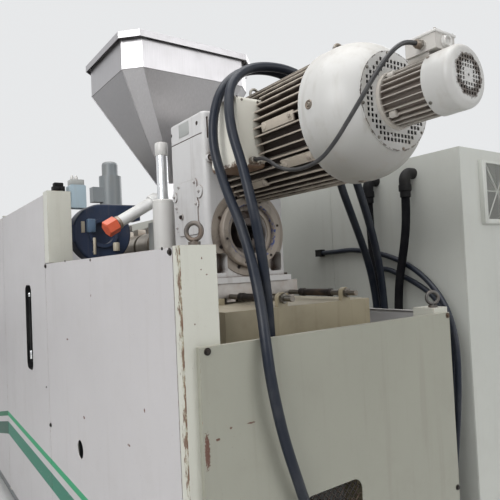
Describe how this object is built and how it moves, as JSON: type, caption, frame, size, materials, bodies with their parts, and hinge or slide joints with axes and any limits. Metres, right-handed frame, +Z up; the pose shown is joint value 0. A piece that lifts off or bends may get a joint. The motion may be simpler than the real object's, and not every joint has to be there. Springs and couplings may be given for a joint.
{
  "type": "blow molding machine",
  "caption": "Extrusion blow molding machine: hopper-fed extruder on a bed, guarded mould clamp with hinged doors, and its control cabinet.",
  "frame": {"origin": "on the floor, under the middle of the machine's box without its cables", "axes": "+Z up, +X towards the drive end, +Y towards the control cabinet"},
  "size_m": [4.28, 2.0882, 2.725],
  "materials": {
    "base_paint": "semi-gloss paint, dusty",
    "plain_steel": "bright steel with light rust",
    "panel_paint": "satin off-white paint, scratched, with rust at chipped edges",
    "post_paint": "satin off-white paint",
    "grip_black": "matt black",
    "bed_cream": "satin cream paint, chipped",
    "gearbox_grey": "satin light grey paint on a casting",
    "machined_steel": "turned steel, oily",
    "band_steel": "heat-stained steel",
    "cast_grey": "cast iron, painted grey",
    "cylinder_grey": "satin grey paint with a white cap",
    "stainless": "brushed stainless sheet",
    "cap_red": "orange-red paint",
    "column_white": "off-white paint, worn",
    "ram_chrome": "polished chrome",
    "motor_grey": "grey paint under dust",
    "box_cream": "cream paint on a casting, rust at the foot",
    "cowl_white": "dirty white paint",
    "fan_black": "moulded black plastic",
    "blower_blue": "dark blue enamel",
    "junction_blue": "pale blue plastic",
    "mould_aluminium": "milled aluminium",
    "cabinet_grey": "grey-green textured paint",
    "cable_slate": "dark slate cable jacket",
    "conduit_black": "black corrugated conduit"
  },
  "bodies": {
    "frame": {"base_frame": "base_paint", "levelling_feet": "plain_steel", "rear_posts": "post_paint", "rear_panel": "panel_paint", "left_panel": "panel_paint", "fixed_panels": "panel_paint", "guard_frame": "post_paint", "panel_screws": "plain_steel", "lifting_eyebolts": "plain_steel", "extruder_bed": "bed_cream", "adjusting_spindles": "plain_steel", "barrel_blower": "blower_blue", "junction_box": "junction_blue", "clamp_end_plates": "base_paint", "tie_bars": "ram_chrome", "blow_pin_cylinder": "cylinder_grey", "cabinet_body": "cabinet_grey", "cable_boxes": "cabinet_grey", "cable_glands": "conduit_black", "motor_cable_a": "cable_slate", "motor_cable_b": "cable_slate", "conduit_a": "conduit_black", "conduit_b": "conduit_black", "field_cable_a": "cable_slate", "field_cable_b": "cable_slate"},
    "door_rear": {"door_rear": "panel_paint", "door_rear_handle": "grip_black"},
    "door_front": {"door_front": "panel_paint", "door_front_handle": "grip_black"},
    "clamp_rear": {"platen_rear": "base_paint", "mould_rear": "mould_aluminium"},
    "clamp_front": {"platen_front": "base_paint", "mould_front": "mould_aluminium"},
    "blow_pin": {"blow_pin": "ram_chrome"},
    "extruder": {"sole_plate": "machined_steel", "gearbox_housing": "gearbox_grey", "gearbox_flange": "machined_steel", "barrel": "machined_steel", "heater_bands": "band_steel", "feed_throat": "cast_grey", "die_head": "machined_steel", "parison_cylinder": "cylinder_grey", "hopper": "stainless", "drain_pipe": "stainless", "lift_tube": "column_white", "motor_housing": "motor_grey", "terminal_box": "box_cream", "terminal_box_lid": "box_cream", "motor_cowl": "cowl_white", "fan_guard": "cowl_white", "fan_motor": "motor_grey", "fan_motor_cowl": "cowl_white", "fan_cable": "cable_slate"},
    "screw": {"hollow_shaft": "machined_steel", "extruder_screw": "machined_steel"},
    "fan": {"cooling_fan": "fan_black"},
    "lid": {"hopper_lid": "stainless"},
    "cap": {"drain_cap": "cap_red"},
    "ram": {"lift_rod": "ram_chrome"},
    "cabinet_door": {"cabinet_door": "cabinet_grey"}
  },
  "joints": [
    {"name": "rear_door_hinge", "type": "hinge", "parent": "frame", "child": "door_rear", "pos_m": [-0.9945, -1.02915, 1.1], "axis": [0, 0, -1], "range_deg": [0, 90]},
    {"name": "front_door_hinge", "type": "hinge", "parent": "frame", "child": "door_front", "pos_m": [-2.1235, -1.02915, 1.1], "axis": [0, 0, -1], "range_deg": [0, 90]},
    {"name": "clamp_close", "type": "slide", "parent": "frame", "child": "clamp_rear", "axis": [-1, 0, 0], "range_m": [0, 0.14]},
    {"name": "clamp_close_front", "type": "slide", "parent": "frame", "child": "clamp_front", "axis": [1, 0, 0], "range_m": [0, 0.14]},
    {"name": "blow_pin_lift", "type": "slide", "parent": "frame", "child": "blow_pin", "axis": [0, 0, 1], "range_m": [0, 0.08]},
    {"name": "extruder_adjust", "type": "slide", "parent": "frame", "child": "extruder", "axis": [1, 0, 0], "range_m": [-0.025, 0.025]},
    {"name": "screw_turn", "type": "hinge", "parent": "extruder", "child": "screw", "pos_m": [0.4305, -0.43015, 1.752], "axis": [1, 0, 0], "continuous": true},
    {"name": "fan_turn", "type": "hinge", "parent": "extruder", "child": "fan", "pos_m": [1.7805, -0.43015, 2.086], "axis": [1, 0, 0], "continuous": true},
    {"name": "lid_hinge", "type": "hinge", "parent": "extruder", "child": "lid", "pos_m": [0.403, -0.04615, 2.7], "axis": [-1, 0, 0], "range_deg": [0, 95]},
    {"name": "drain_cap_turn", "type": "hinge", "parent": "extruder", "child": "cap", "pos_m": [0.403, -0.79115, 1.832], "axis": [0, -0.866, -0.5], "range_deg": [0, 360]},
    {"name": "lift_ram", "type": "slide", "parent": "extruder", "child": "ram", "axis": [0, 0, 1], "range_m": [-0.075, 0]},
    {"name": "cabinet_door_hinge", "type": "hinge", "parent": "frame", "child": "cabinet_door", "pos_m": [1.5805, 1.00715, 1.1], "axis": [0, 0, -1], "range_deg": [0, 110]}
  ],
  "couplings": [
    {"joint": "clamp_close_front", "follows": "clamp_close", "ratio": 1}
  ]
}
